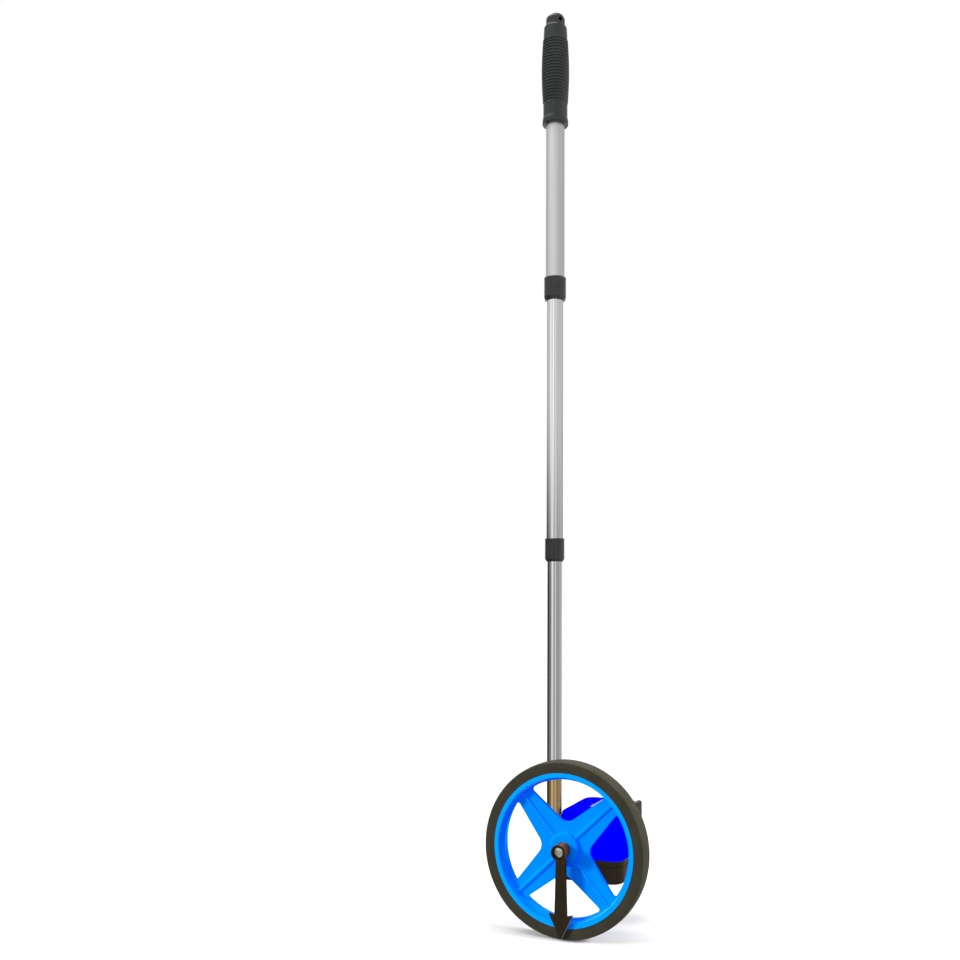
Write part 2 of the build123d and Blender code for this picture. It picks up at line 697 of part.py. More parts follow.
def grip_radius(z):
    """The grip's outer radius over its ribbed length, fullest in the middle."""
    share = (z - RIB_BOTTOM) / (RIB_TOP - RIB_BOTTOM)
    return RIB_END_R + (RIB_MIDDLE_R - RIB_END_R) * math.sin(math.pi * share)


def make_cap_slope(angle):
    """The space over one of the two planes that meet in the cap's low ridge."""
    side = -1 if angle < 0 else 1
    axis = Pos(POLE_X, depth(POLE_DEPTH), height(GRIP_TOP)) * Rot(0, 0, CAP_TURN)
    return axis * Pos(CAP_APEX, 0, 0) * Rot(0, angle, 0) * Pos(side * 20, 0, 10) * Box(40, 40, 20)


def make_hang_hole():
    """The hanging hole's cylinder, which crosses the pole's axis at an angle to the axle."""
    turn = math.radians(HANG_HOLE_TURN)
    plane = Plane(origin=(POLE_X, depth(POLE_DEPTH), height(HANG_HOLE_HEIGHT)), x_dir=(0, 0, 1),
                  z_dir=(math.sin(turn), -math.cos(turn), 0))
    return extrude(plane * Circle(HANG_HOLE_R), 20, both=True)


def make_grip():
    """A ribbed rubber grip, closed at the top by a sloping cap with a hanging hole."""
    lip_top = GRIP_BOTTOM + LIP_HEIGHT
    points = [(UPPER_R, GRIP_BOTTOM), (GRIP_LIP_R - 0.5, GRIP_BOTTOM), (GRIP_LIP_R, GRIP_BOTTOM + 0.8)]
    points += [(GRIP_LIP_R, lip_top - 3.6), (GRIP_NECK_R, lip_top), (GRIP_NECK_R, RIB_BOTTOM - 1)]
    pitch = (RIB_TOP - RIB_BOTTOM) / RIBS
    for index in range(RIBS):
        low = RIB_BOTTOM + pitch * index
        radius = grip_radius(low + pitch / 2)
        points += [(radius - RIB_DEPTH, low), (radius - RIB_DEPTH, low + 0.25 * pitch)]
        points += [(radius, low + 0.45 * pitch), (radius, low + 0.8 * pitch)]
    points += [
        (CAP_SHOULDER_R + 0.5, RIB_TOP),
        (CAP_SHOULDER_R + 0.4, RIB_TOP + 6),
        (CAP_SHOULDER_R, CAP_SHOULDER - 1.4),
        (CAP_SHOULDER_R - 0.9, CAP_SHOULDER),
        (CAP_NECK_R, CAP_SHOULDER + 1.2),
        (CAP_NECK_R, CAP_NECK_TOP),
        (CAP_NECK_R - 1.3, GRIP_TOP - 1.2),
        (CAP_NECK_R - 2.8, GRIP_TOP),
        (0, GRIP_TOP),
        (0, UPPER_TUBE_TOP),
        (UPPER_R, UPPER_TUBE_TOP),
    ]
    body = upright_turned(points)
    return body - make_cap_slope(-CAP_LEFT_SLOPE) - make_cap_slope(CAP_RIGHT_SLOPE) - make_hang_hole()


def all_parts():
    """Every piece of the measuring wheel, by its node's name."""
    lower_bottom, upper_bottom = LOWER_COLLAR[0] + 7, UPPER_COLLAR[0] + 7
    parts = {
        "tyre": make_tyre(),
        "wheel_rim": make_wheel_rim(),
        "hub_bush_front": make_hub_bush(HUB_FACE),
        "hub_bush_rear": make_hub_bush(GEAR_REAR - BUSH_LENGTH),
        "wheel_gear": make_wheel_gear(),
        "axle": make_axle(),
        "axle_nut": make_axle_nut(),
        "front_thrust_washer": make_washer(POINTER_BOSS_REAR, HUB_FACE - 0.15),
        "rear_thrust_washer": make_washer(GEAR_REAR + 0.3, COLLAR_FRONT),
        "pointer_arrow": make_pointer_arrow(),
        "pointer_screw": make_pointer_screw(),
        "housing_upper": make_housing_upper(),
        "housing_base": make_housing_base(),
        "housing_screws": make_housing_screws(),
        "window_bezel": make_window_bezel(),
        "window_lens": make_window_lens(),
        "counter_bracket": make_counter_bracket(),
        "bracket_screws": make_bracket_screws(),
        "drum_shaft": make_drum_shaft(),
        "drum_gear": make_drum_gear(),
        "pinion_shaft": make_pinion_shaft(),
        "pinion_spacers": make_pinion_spacers(),
        "reset_lever": make_reset_lever(),
        "reset_comb": make_reset_comb(),
        "reset_pin": make_reset_pin(),
        "reset_spring": make_reset_spring(),
        "pole_socket": make_pole_socket(),
        "socket_screws": make_socket_screws(),
        "tube_foot_plug": make_tube_foot_plug(),
        "lower_tube": make_lower_tube(),
        "lower_tube_plug": make_tube_plug(LOWER_R, LOWER_TUBE_TOP),
        "lower_collar": make_collar(LOWER_COLLAR, LOWER_COLLAR_R, LOWER_CHAMFER, MIDDLE_R, LOWER_R),
        "lower_collet": make_collet(MIDDLE_R, LOWER_R, lower_bottom - 5),
        "middle_tube": make_tube(MIDDLE_R, lower_bottom, MIDDLE_TUBE_TOP),
        "middle_tube_plug": make_tube_plug(MIDDLE_R, MIDDLE_TUBE_TOP),
        "upper_collar": make_collar(UPPER_COLLAR, UPPER_COLLAR_R, UPPER_CHAMFER, UPPER_R, MIDDLE_R),
        "upper_collet": make_collet(UPPER_R, MIDDLE_R, upper_bottom - 5),
        "upper_tube": make_tube(UPPER_R, upper_bottom, UPPER_TUBE_TOP),
        "grip": make_grip(),
    }
    for index in range(DRUMS):
        parts[f"digit_drum_{index + 1}"] = make_digit_drum(index)
    for index in range(DRUMS - 1):
        parts[f"transfer_pinion_{index + 1}"] = make_transfer_pinion(index)
    return parts


os.makedirs("parts", exist_ok=True)
for node, shape in all_parts().items():
    export_step(shape, f"parts/{node}.step")
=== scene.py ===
import json
import math

import bmesh
import bpy
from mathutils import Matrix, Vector


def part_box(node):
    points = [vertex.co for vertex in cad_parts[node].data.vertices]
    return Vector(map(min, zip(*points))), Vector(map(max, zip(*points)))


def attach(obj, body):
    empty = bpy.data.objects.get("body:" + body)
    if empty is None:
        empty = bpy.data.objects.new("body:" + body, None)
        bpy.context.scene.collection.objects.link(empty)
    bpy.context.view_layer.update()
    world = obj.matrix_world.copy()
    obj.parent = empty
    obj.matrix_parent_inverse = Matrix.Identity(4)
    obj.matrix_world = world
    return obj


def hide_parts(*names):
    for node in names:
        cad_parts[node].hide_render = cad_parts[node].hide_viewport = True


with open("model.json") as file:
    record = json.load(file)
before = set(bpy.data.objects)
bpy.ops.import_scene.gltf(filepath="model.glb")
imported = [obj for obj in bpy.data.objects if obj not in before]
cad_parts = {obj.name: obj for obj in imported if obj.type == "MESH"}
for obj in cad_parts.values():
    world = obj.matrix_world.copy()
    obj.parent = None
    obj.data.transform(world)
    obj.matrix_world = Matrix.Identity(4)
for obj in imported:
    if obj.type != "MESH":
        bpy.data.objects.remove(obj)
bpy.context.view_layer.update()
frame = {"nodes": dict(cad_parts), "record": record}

# Everything is in metres, in the frame's own axes: +X is the direction of travel,
# +Y runs along the axle from the wheel to the housing, and +Z is up.

MM = 0.001


def box_of(node):
    """A node's lowest and highest corner, as vectors."""
    low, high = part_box(node)
    return Vector(low), Vector(high)


TYRE_LOW, TYRE_HIGH = box_of("tyre")
AXLE = Vector((0.0, TYRE_LOW.y, (TYRE_LOW.z + TYRE_HIGH.z) / 2))
WHEEL_R = (TYRE_HIGH.z - TYRE_LOW.z) / 2
RIM_LOW, RIM_HIGH = box_of("wheel_rim")
RIM_R = (RIM_HIGH.z - RIM_LOW.z) / 2

# Base colours that change by place on the object, all painted light: a painted brown reflection on the
# boss's side, a painted highlight on the rim's outer ring and a painted gold reflection on the tube's foot
BOSS_FRONT = box_of("pointer_arrow")[0].y
BOSS_REACH = 9.0 * MM
BOSS_EDGE = 0.5 * MM
BOSS_FADE = (0.6 * MM, 1.6 * MM)
BOSS_PAINTED_REFLECTION = (0.11, 0.045, 0.003)
FLANGE_WIDTH = 3.95 * MM
FLANGE_EDGE = 0.3 * MM
FLANGE_INNER_R = RIM_R - FLANGE_WIDTH
FLANGE_PAINTED_HIGHLIGHT = (0.0, 0.54, 1.0)
FOOT_PAINTED_REFLECTION = (0.84, 0.6, 0.29)
FOOT_FADE = (0.142, 0.158)

# Shared emission: both blue plastics glow a little in pure blue
BLUE_GLOW = (0.0, 0.0, 1.0, 1.0)

# Camera: its place from the axle, its turn about Z, its tilt up, its lens and its sideways shift
CAMERA_FROM_AXLE = Vector((0.3628, -0.8717, 0.2424))
CAMERA_TURN = math.radians(22.14)
CAMERA_TILT = math.radians(6.0)
CAMERA_LENS = 37.27
CAMERA_SENSOR = 36.0
CAMERA_SHIFT = (-0.09387, 0.00089)


# Materials

class Paint:
    """A node-based material with one Principled shader, and short calls to build on it."""

    def __init__(self, name, color, roughness, metallic=0.0, **sockets):
        self.material = bpy.data.materials.new(name)
        self.material.use_nodes = True
        self.nodes = self.material.node_tree.nodes
        self.links = self.material.node_tree.links
        self.shader = self.nodes["Principled BSDF"]
        self.shader.inputs["Base Color"].default_value = (*color, 1.0)
        self.shader.inputs["Roughness"].default_value = roughness
        self.shader.inputs["Metallic"].default_value = metallic
        for socket, value in sockets.items():
            self.shader.inputs[socket.replace("_", " ")].default_value = value
        self.material.diffuse_color = (*color, 1.0)

    def place(self, scale=(1.0, 1.0, 1.0)):
        """The object's own coordinates, stretched by a scale."""
        coordinates = self.nodes.new("ShaderNodeTexCoord")
        mapping = self.nodes.new("ShaderNodeMapping")
        mapping.inputs["Scale"].default_value = scale
        self.links.new(coordinates.outputs["Object"], mapping.inputs["Vector"])
        return mapping.outputs["Vector"]

    def noise(self, scale, detail=3.0, stretch=(1.0, 1.0, 1.0), roughness=0.5):
        """Cloudy noise; scale is in cycles per metre."""
        texture = self.nodes.new("ShaderNodeTexNoise")
        texture.inputs["Scale"].default_value = scale
        texture.inputs["Detail"].default_value = detail
        texture.inputs["Roughness"].default_value = roughness
        self.links.new(self.place(stretch), texture.inputs["Vector"])
        return texture.outputs["Fac"]

    def grain(self, scale):
        """The small round cells of a moulded grain; scale is in cells per metre."""
        texture = self.nodes.new("ShaderNodeTexVoronoi")
        texture.feature = "SMOOTH_F1"
        texture.inputs["Scale"].default_value = scale
        self.links.new(self.place(), texture.inputs["Vector"])
        return texture.outputs["Distance"]

    def ramp(self, source, stops):
        """Maps a value to colours or greys; stops are (position, colour or grey)."""
        node = self.nodes.new("ShaderNodeValToRGB")
        elements = node.color_ramp.elements
        while len(elements) < len(stops):
            elements.new(0.5)
        for element, (position, value) in zip(elements, stops):
            element.position = position
            color = (value, value, value) if isinstance(value, float) else value
            element.color = (*color, 1.0)
        self.links.new(source, node.inputs["Fac"])
        return node.outputs["Color"]

    def rise(self):
        """The height above the ground, in metres."""
        split = self.nodes.new("ShaderNodeSeparateXYZ")
        self.links.new(self.place(), split.inputs["Vector"])
        return split.outputs["Z"]

    def times(self, first, second):
        """Multiplies two colours."""
        node = self.nodes.new("ShaderNodeMix")
        node.data_type = "RGBA"
        node.blend_type = "MULTIPLY"
        node.inputs["Factor"].default_value = 1.0
        self.links.new(first, node.inputs["A"])
        self.links.new(second, node.inputs["B"])
        return node.outputs["Result"]

    def mix(self, factor, first, color):
        """Goes from one colour to a plain one with a factor."""
        node = self.nodes.new("ShaderNodeMix")
        node.data_type = "RGBA"
        self.links.new(factor, node.inputs["Factor"])
        self.links.new(first, node.inputs["A"])
        node.inputs["B"].default_value = (*color, 1.0)
        return node.outputs["Result"]

    def reach(self):
        """The distance from the axle's line, in metres."""
        node = self.nodes.new("ShaderNodeVectorMath")
        node.operation = "DISTANCE"
        self.links.new(self.place((1.0, 0.0, 1.0)), node.inputs[0])
        node.inputs[1].default_value = (AXLE.x, 0.0, AXLE.z)
        return node.outputs["Value"]

    def flange(self):
        """One on the rim's outer ring, where a lighter blue highlight is painted, and zero inside it."""
        return self.ramp(self.reach(), [(FLANGE_INNER_R - FLANGE_EDGE, 0.0), (FLANGE_INNER_R, 1.0)])

    def boss_side(self):
        """One on the side of the pointer's boss, behind its front ring, where a brown reflection is painted,
        and zero elsewhere.
        """
        near = self.ramp(self.reach(), [(BOSS_REACH, 1.0), (BOSS_REACH + BOSS_EDGE, 0.0)])
        split = self.nodes.new("ShaderNodeSeparateXYZ")
        self.links.new(self.place(), split.inputs["Vector"])
        back = self.nodes.new("ShaderNodeMapRange")
        back.inputs["From Min"].default_value = BOSS_FRONT + BOSS_FADE[0]
        back.inputs["From Max"].default_value = BOSS_FRONT + BOSS_FADE[1]
        self.links.new(split.outputs["Y"], back.inputs["Value"])
        both = self.nodes.new("ShaderNodeMath")
        both.operation = "MULTIPLY"
        self.links.new(near, both.inputs[0])
        self.links.new(back.outputs["Result"], both.inputs[1])
        return both.outputs["Value"]

    def spread(self, source, low, high):
        """Maps a value from 0..1 to low..high."""
        node = self.nodes.new("ShaderNodeMapRange")
        node.inputs["From Min"].default_value = 0.25
        node.inputs["From Max"].default_value = 0.75
        node.inputs["To Min"].default_value = low
        node.inputs["To Max"].default_value = high
        self.links.new(source, node.inputs["Value"])
        return node.outputs["Result"]

    def drive(self, socket, source):
        """Feeds a shader socket."""
        self.links.new(source, self.shader.inputs[socket])

    def bumps(self, *layers):
        """Stacks bumps; each layer is a height source, a strength and a depth in metres."""
        normal = None
        for source, strength, distance in layers:
            node = self.nodes.new("ShaderNodeBump")
            node.inputs["Strength"].default_value = strength
            node.inputs["Distance"].default_value = distance
            self.links.new(source, node.inputs["Height"])
            if normal:
                self.links.new(normal, node.inputs["Normal"])
            normal = node.outputs["Normal"]
        self.links.new(normal, self.shader.inputs["Normal"])


def shades(color, *factors):
    """Darker or lighter versions of a colour."""
    return [tuple(min(1.0, channel * factor) for channel in color) for factor in factors]


def tyre_rubber():
    color = (0.058, 0.054, 0.036)
    paint = Paint("tyre_rubber", color, 0.6, Specular_IOR_Level=0.2)
    dust = paint.noise(60.0, 5.0)
    dark, light = shades(color, 0.85, 1.25)
    paint.drive("Base Color", paint.ramp(dust, [(0.3, dark), (0.75, light)]))
    paint.drive("Roughness", paint.spread(dust, 0.5, 0.7))
    paint.bumps((paint.noise(2600.0, 3.0), 0.22, 0.0002), (paint.noise(150.0, 2.0), 0.15, 0.0004))
    return paint.material


def rim_plastic():
    color = (0.0, 0.41, 1.0)
    paint = Paint("rim_plastic", color, 0.38, IOR=1.05, Specular_Tint=(0.02, 0.6, 1.0, 1.0))
    paint.shader.inputs["Emission Color"].default_value = BLUE_GLOW
    paint.shader.inputs["Emission Strength"].default_value = 0.35
    cloud = paint.noise(45.0, 4.0)
    dark, light = shades(color, 0.94, 1.05)
    plain = paint.ramp(cloud, [(0.3, dark), (0.7, light)])
    # The rim's outer ring gets a painted highlight: a lighter blue.
    paint.drive("Base Color", paint.mix(paint.flange(), plain, FLANGE_PAINTED_HIGHLIGHT))
    paint.drive("Roughness", paint.spread(cloud, 0.32, 0.46))
    paint.bumps((paint.noise(1800.0, 2.0), 0.08, 0.0001), (paint.noise(70.0, 2.0), 0.08, 0.0006))
    return paint.material


def housing_plastic():
    color = (0.0, 0.0, 0.95)
    paint = Paint("housing_plastic", color, 0.5, IOR=1.01, Specular_Tint=(0.02, 0.06, 1.0, 1.0))
    paint.shader.inputs["Emission Color"].default_value = BLUE_GLOW
    paint.shader.inputs["Emission Strength"].default_value = 0.45
    cloud = paint.noise(40.0, 4.0)
    dark, light = shades(color, 0.93, 1.05)
    paint.drive("Base Color", paint.ramp(cloud, [(0.3, dark), (0.7, light)]))
    paint.drive("Roughness", paint.spread(cloud, 0.42, 0.55))
    paint.bumps((paint.grain(1500.0), 0.08, 0.0001), (paint.noise(60.0, 2.0), 0.05, 0.0006))
    return paint.material


def black_plastic():
    color = (0.012, 0.008, 0.003)
    paint = Paint("black_plastic", color, 0.4, Specular_IOR_Level=0.42, Specular_Tint=(1.0, 0.82, 0.55, 1.0))
    cloud = paint.noise(55.0, 4.0)
    dark, light = shades(color, 0.8, 1.5)
    plain = paint.ramp(cloud, [(0.3, dark), (0.75, light)])
    # The boss's side gets a painted brown reflection.
    paint.drive("Base Color", paint.mix(paint.boss_side(), plain, BOSS_PAINTED_REFLECTION))
    paint.drive("Roughness", paint.spread(cloud, 0.33, 0.46))
    paint.bumps((paint.grain(1400.0), 0.16, 0.00012))
    return paint.material


def collar_plastic():
    color = (0.030, 0.030, 0.031)
    paint = Paint("collar_plastic", color, 0.2, Specular_IOR_Level=0.4)
    cloud = paint.noise(80.0, 4.0)
    dark, light = shades(color, 0.85, 1.2)
    paint.drive("Base Color", paint.ramp(cloud, [(0.3, dark), (0.75, light)]))
    paint.drive("Roughness", paint.spread(cloud, 0.14, 0.26))
    paint.bumps((paint.noise(1500.0, 2.0), 0.06, 0.0001))
    return paint.material


def grip_rubber():
    color = (0.022, 0.024, 0.025)
    paint = Paint("grip_rubber", color, 0.36, Specular_IOR_Level=0.5)
    cloud = paint.noise(90.0, 5.0)
    dark, light = shades(color, 0.8, 1.35)
    paint.drive("Base Color", paint.ramp(cloud, [(0.3, dark), (0.75, light)]))
    paint.drive("Roughness", paint.spread(cloud, 0.3, 0.44))
    paint.bumps((paint.grain(1700.0), 0.14, 0.00012))
    return paint.material


def tube_satin():
    color = (0.86, 0.86, 0.86)
    paint = Paint("tube_satin", color, 0.4, 1.0)
    streak = paint.noise(500.0, 4.0, (1.0, 1.0, 0.012))
    dark, light = shades(color, 0.93, 1.06)
    paint.drive("Base Color", paint.ramp(streak, [(0.25, dark), (0.75, light)]))
    paint.drive("Roughness", paint.spread(paint.noise(700.0, 3.0, (1.0, 1.0, 0.02)), 0.46, 0.58))
    paint.bumps((streak, 0.05, 0.0001))
    return paint.material


def tube_polished():
    color = (0.93, 0.93, 0.93)
    paint = Paint("tube_polished", color, 0.12, 1.0)
    streak = paint.noise(420.0, 3.0, (1.0, 1.0, 0.008))
    dark, light = shades(color, 0.82, 1.1)
    neutral = paint.ramp(streak, [(0.3, dark), (0.7, light)])
    # The tube's foot gets a painted gold reflection, fading out above it.
    foot_painted_reflection = paint.ramp(paint.rise(), [(FOOT_FADE[0], FOOT_PAINTED_REFLECTION), (FOOT_FADE[1], (1.0, 1.0, 1.0))])
    paint.drive("Base Color", paint.times(neutral, foot_painted_reflection))
    paint.drive("Roughness", paint.spread(paint.noise(500.0, 4.0, (1.0, 1.0, 0.03)), 0.08, 0.16))
    paint.bumps((streak, 0.06, 0.0001))
    return paint.material


def plated_steel():
    color = (0.62, 0.64, 0.54)
    paint = Paint("plated_steel", color, 0.25, 1.0)
    brush = paint.noise(700.0, 4.0, (1.0, 0.05, 1.0))
    dark, light = shades(color, 0.8, 1.15)
    paint.drive("Base Color", paint.ramp(brush, [(0.3, dark), (0.7, light)]))
    paint.drive("Roughness", paint.spread(brush, 0.18, 0.38))
    paint.bumps((brush, 0.08, 0.0001))
    return paint.material


def sintered_bronze():
    color = (0.46, 0.27, 0.11)
    paint = Paint("sintered_bronze", color, 0.42, 1.0)
    speck = paint.noise(2500.0, 2.0)
    dark, light = shades(color, 0.65, 1.15)
    paint.drive("Base Color", paint.ramp(speck, [(0.35, dark), (0.65, light)]))
    paint.bumps((speck, 0.2, 0.0001))
    return paint.material


def natural_nylon():
    color = (0.72, 0.69, 0.6)
    paint = Paint("natural_nylon", color, 0.4, Subsurface_Weight=0.15)
    paint.shader.inputs["Subsurface Radius"].default_value = (0.002, 0.0018, 0.0012)
    cloud = paint.noise(120.0, 3.0)
    dark, light = shades(color, 0.92, 1.05)
    paint.drive("Base Color", paint.ramp(cloud, [(0.3, dark), (0.7, light)]))
    paint.bumps((paint.noise(1500.0, 2.0), 0.08, 0.0001))
    return paint.material


def drum_plastic():
    color = (0.012, 0.012, 0.013)
    paint = Paint("drum_plastic", color, 0.5)
    cloud = paint.noise(200.0, 3.0)
    dark, light = shades(color, 0.8, 1.4)
    paint.drive("Base Color", paint.ramp(cloud, [(0.3, dark), (0.7, light)]))
    paint.bumps((paint.noise(2500.0, 2.0), 0.1, 0.0001))
    return paint.material


def figure_paint(name, color):
    paint = Paint(name, color, 0.5)
    cloud = paint.noise(900.0, 3.0)
    dark, light = shades(color, 0.88, 1.05)
    paint.drive("Base Color", paint.ramp(cloud, [(0.3, dark), (0.6, light)]))
    paint.bumps((cloud, 0.1, 0.0001))
    return paint.material


def clear_pane():
    paint = Paint("clear_pane", (0.92, 0.96, 0.98), 0.05, Transmission_Weight=1.0, IOR=1.49)
    haze = paint.noise(300.0, 3.0)
    paint.drive("Roughness", paint.spread(haze, 0.02, 0.08))
    return paint.material


def floor_paint():
    color = (0.97, 0.97, 0.97)
    paint = Paint("floor_paint", color, 0.08, IOR=1.12)
    paint.shader.inputs["Emission Color"].default_value = (1.0, 1.0, 1.0, 1.0)
    paint.shader.inputs["Emission Strength"].default_value = 0.01
    cloud = paint.noise(3.0, 3.0)
    dark, light = shades(color, 0.99, 1.01)
    paint.drive("Base Color", paint.ramp(cloud, [(0.3, dark), (0.7, light)]))
    return paint.material


MATERIALS = {
    "tyre": tyre_rubber(),
    "rim_plastic": rim_plastic(),
    "housing_plastic": housing_plastic(),
    "black_plastic": black_plastic(),
    "collar_plastic": collar_plastic(),
    "grip_rubber": grip_rubber(),
    "tube_satin": tube_satin(),
    "tube_polished": tube_polished(),
    "steel": plated_steel(),
    "bronze": sintered_bronze(),
    "gear_nylon": natural_nylon(),
    "drum_plastic": drum_plastic(),
    "lens": clear_pane(),
}


# Mesh helpers

def new_piece(name, vertices, faces, body, slot, smooth_angle=35.0):
    """A mesh piece that rides on a body and takes its slot's material."""
    mesh = bpy.data.meshes.new(name)
    mesh.from_pydata(vertices, [], faces)
    mesh.validate()
    piece = bpy.data.objects.new(name, mesh)
    bpy.context.scene.collection.objects.link(piece)
    mesh.materials.append(MATERIALS[slot])
    smooth_by_angle(mesh, smooth_angle)
    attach(piece, body)
    return piece


def smooth_by_angle(mesh, degrees):
    """Shades a mesh smooth, with hard edges where faces meet at more than an angle."""
    work = bmesh.new()
    work.from_mesh(mesh)
    bmesh.ops.recalc_face_normals(work, faces=work.faces)
    limit = math.radians(degrees)
    for face in work.faces:
        face.smooth = True
    for edge in work.edges:
        edge.smooth = len(edge.link_faces) == 2 and edge.calc_face_angle(0.0) < limit
    work.to_mesh(mesh)
    work.free()


def lathe(rings, sides, closed_loop):
    """Vertices and faces of a turned surface; rings are lists of points, one per side."""
    vertices = [point for ring in rings for point in ring]
    faces = []
    last = len(rings) if closed_loop else len(rings) - 1
    for row in range(last):
        above = (row + 1) % len(rings)
        for side in range(sides):
            after = (side + 1) % sides
            faces.append((row * sides + side, row * sides + after,
                          above * sides + after, above * sides + side))
    return vertices, faces


# Tyre

TYRE_SIDES = 288
TYRE_WIDTH = TYRE_HIGH.y - TYRE_LOW.y
SHOULDER_R = WHEEL_R - 0.85 * MM
TREAD_LINES = 4
LINE_DEPTH = 0.25 * MM


def tyre_half():
    """Half of the tyre's outline as (radius, depth): the side with its shallow steps, then the tread."""
    side = [
        (RIM_R, 0.7 * MM),
        (RIM_R + 0.3 * MM, 0.35 * MM),
        (RIM_R + 0.8 * MM, 0.3 * MM),
        (RIM_R + 3.4 * MM, 0.3 * MM),
        (RIM_R + 3.8 * MM, 0.1 * MM),
        (RIM_R + 8.4 * MM, 0.0),
        (SHOULDER_R - 0.5 * MM, 0.05 * MM),
        (SHOULDER_R - 0.15 * MM, 0.2 * MM),
        (SHOULDER_R, 0.5 * MM),
    ]
    tread = []
    pitch = TYRE_WIDTH / 2 / (TREAD_LINES + 0.5)
    for line in range(1, TREAD_LINES + 1):
        middle = pitch * line
        crown = SHOULDER_R + (WHEEL_R - SHOULDER_R) * math.sin(math.pi * middle / TYRE_WIDTH) ** 0.6
        for offset, drop in ((-0.16, 0.0), (-0.06, LINE_DEPTH), (0.06, LINE_DEPTH), (0.16, 0.0)):
            tread.append((crown - drop, middle + offset * pitch))
    return side + tread


def make_tyre():
    half = tyre_half()
    far_half = [(radius, TYRE_WIDTH - place) for radius, place in reversed(half)]
    outline = half + [(WHEEL_R, TYRE_WIDTH / 2)] + far_half
    rings = []
    for radius, place in outline:
        ring = []
        for side in range(TYRE_SIDES):
            angle = 2 * math.pi * side / TYRE_SIDES
            across, up = radius * math.cos(angle), radius * math.sin(angle)
            ring.append((AXLE.x + across, AXLE.y + place, AXLE.z + up))
        rings.append(ring)
    piece = new_piece("tyre_rubber", *lathe(rings, TYRE_SIDES, True), "wheel", "tyre", 24.0)
    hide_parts("tyre")
    piece.visible_glossy = False
    return piece


# Drum figures

FIGURE_HEIGHT = 5.4 * MM
FIGURE_PRESS = 0.72
FIGURE_DEPTH = 0.06 * MM


def figure_outline(text):
    """A figure's flat solid, centred, as vertices and faces, cut into short bands."""
    curve = bpy.data.curves.new("figure", "FONT")
    curve.body = text
    curve.align_x = "CENTER"
    curve.align_y = "CENTER"
    curve.size = FIGURE_HEIGHT * 1.4
    curve.extrude = FIGURE_DEPTH
    holder = bpy.data.objects.new("figure", curve)
    bpy.context.scene.collection.objects.link(holder)
    bpy.context.view_layer.update()
    mesh = bpy.data.meshes.new_from_object(holder.evaluated_get(bpy.context.evaluated_depsgraph_get()))
    bpy.data.objects.remove(holder)
    work = bmesh.new()
    work.from_mesh(mesh)
    bmesh.ops.remove_doubles(work, verts=work.verts, dist=1e-7)
    for level in range(-6, 7):
        plane = FIGURE_HEIGHT * level / 12
        everything = work.verts[:] + work.edges[:] + work.faces[:]
        bmesh.ops.bisect_plane(work, geom=everything, plane_co=(0, plane, 0), plane_no=(0, 1, 0))
    work.verts.index_update()
    vertices = [vertex.co.copy() for vertex in work.verts]
    faces = [tuple(vertex.index for vertex in face.verts) for face in work.faces]
    work.free()
    bpy.data.meshes.remove(mesh)
    bpy.data.curves.remove(curve)
    return vertices, faces


def make_drum_figures(number, outlines, slot):
    """The ten figures round one drum; zero is on top at rest."""
    low, high = box_of(f"digit_drum_{number}")
    radius = (high.z - low.z) / 2
    centre = (low + high) / 2
    middle = low.y + 3.4 * MM
    vertices, faces = [], []
    for figure, (points, shapes) in enumerate(outlines):
        start = len(vertices)
        for point in points:
            angle = math.radians(36 * figure) + point.y / radius
            reach = radius + point.z - FIGURE_DEPTH * 0.5
            vertices.append((centre.x + reach * math.sin(angle), middle - point.x * FIGURE_PRESS,
                             centre.z + reach * math.cos(angle)))
        faces += [tuple(start + index for index in shape) for shape in shapes]
    piece = new_piece(f"drum_figures_{number}", vertices, faces, f"drum_{number}", slot)
    piece.data.materials.clear()
    piece.data.materials.append(FIGURE_RED if number == 1 else FIGURE_WHITE)
    return piece


# Carried-over CAD nodes

BEVELS = {
    "wheel_rim": 0.5, "housing_upper": 0.45, "housing_base": 0.5, "pointer_arrow": 0.8,
    "pointer_screw": 0.15, "reset_lever": 0.4, "lower_collar": 0.3, "upper_collar": 0.3,
    "window_bezel": 0.3, "pole_socket": 0.4, "axle_nut": 0.2, "counter_bracket": 0.2, "grip": 0.3,
}


# Hidden from glossy rays, so that the tubes don't mirror them; the tyre is hidden in make_tyre
OUT_OF_REFLECTIONS = ("wheel_rim", "housing_upper", "window_bezel")


def finish_cad_nodes():
    """Gives every CAD node its slot's material, and soft edges to the visible ones."""
    for node in OUT_OF_REFLECTIONS:
        frame["nodes"][node].visible_glossy = False
    slots = {entry["node"]: entry["material_slot"] for entry in frame["record"]["subparts"]}
    for node, part in frame["nodes"].items():
        for place in part.material_slots:
            place.material = MATERIALS[slots[node]]
        if node in BEVELS:
            bevel = part.modifiers.new("soft_edges", "BEVEL")
            bevel.width = BEVELS[node] * MM
            bevel.segments = 3
            bevel.limit_method = "ANGLE"
            bevel.angle_limit = math.radians(32)
            bevel.harden_normals = True


# Stage

def make_floor():
    """A wide pale floor; the metal shows the studio's panels instead of it."""
    mesh = bpy.data.meshes.new("floor")
    reach = 14.0
    mesh.from_pydata([(-reach, -reach, 0), (reach, -reach, 0), (reach, reach, 0), (-reach, reach, 0)], [],
                     [(0, 1, 2, 3)])
    mesh.materials.append(floor_paint())
    floor = bpy.data.objects.new("floor", mesh)
    floor.visible_glossy = False
    floor.visible_diffuse = False
    bpy.context.scene.collection.objects.link(floor)


def make_light(name, place, aim, size, watts):
    data = bpy.data.lights.new(name, "AREA")
    data.shape = "RECTANGLE"
    data.size, data.size_y = size
    data.energy = watts
    light = bpy.data.objects.new(name, data)
    bpy.context.scene.collection.objects.link(light)
    light.location = place
    light.visible_glossy = False
    light.rotation_euler = (Vector(aim) - Vector(place)).to_track_quat("-Z", "Y").to_euler()


